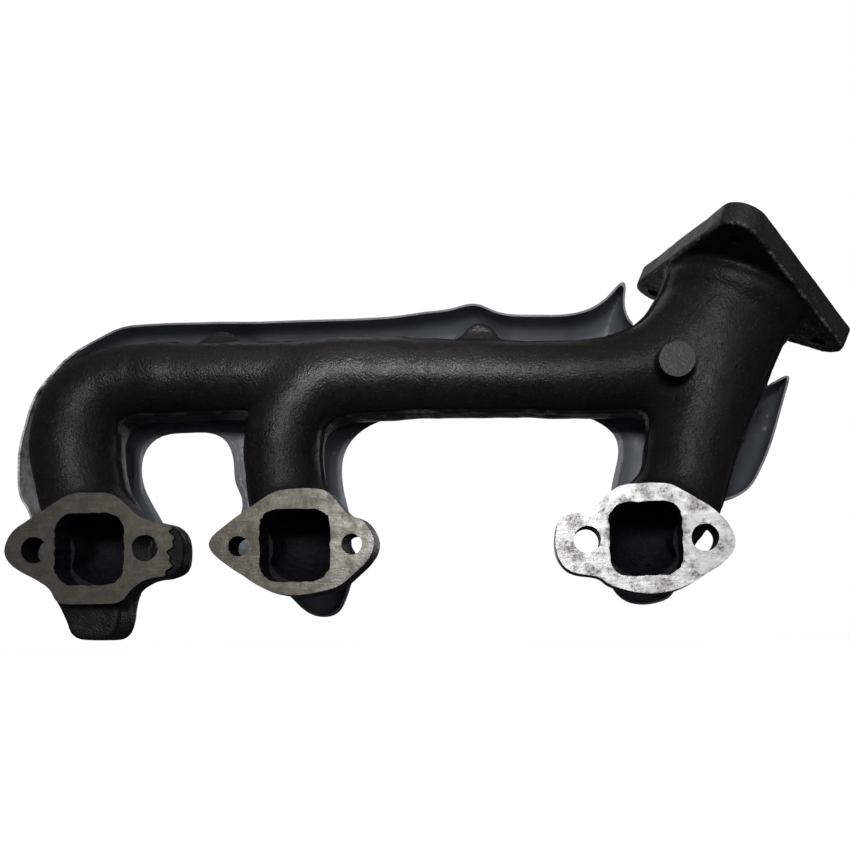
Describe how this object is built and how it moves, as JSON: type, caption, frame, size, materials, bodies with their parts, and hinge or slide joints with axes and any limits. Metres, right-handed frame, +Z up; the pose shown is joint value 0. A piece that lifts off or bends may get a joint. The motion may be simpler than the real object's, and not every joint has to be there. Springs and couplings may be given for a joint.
{
  "type": "exhaust manifold",
  "caption": "Cast-iron exhaust manifold whose port flanges feed a common log and a triangular outlet flange, with a stamped heat shield bolted to its outer side.",
  "frame": {"origin": "centre of the middle port opening, on the machined face that seals against the cylinder head", "axes": "+X along the port row towards the outlet, +Y away from the engine towards the heat shield, +Z up towards the log and the outlet, as the object is seen in its reference picture"},
  "size_m": [0.4928, 0.1289, 0.2246],
  "materials": {
    "cast_iron": "dark as-cast iron with a thin coat of rust-proofing oil, ground bright grey on the port faces",
    "shield_sheet": "dark blue-grey coated steel sheet, rubbed to bare metal along its rim",
    "bolt_steel": "zinc-plated steel, dulled by heat",
    "washer_steel": "plain stamped steel"
  },
  "bodies": {
    "root": {"manifold_casting": "cast_iron", "heat_shield": "shield_sheet", "shield_bolt_top_left": "bolt_steel", "shield_bolt_top_right": "bolt_steel", "shield_bolt_low_left": "bolt_steel", "shield_bolt_low_right": "bolt_steel", "shield_washer_top_left": "washer_steel", "shield_washer_top_right": "washer_steel", "shield_washer_low_left": "washer_steel", "shield_washer_low_right": "washer_steel"}
  },
  "joints": []
}
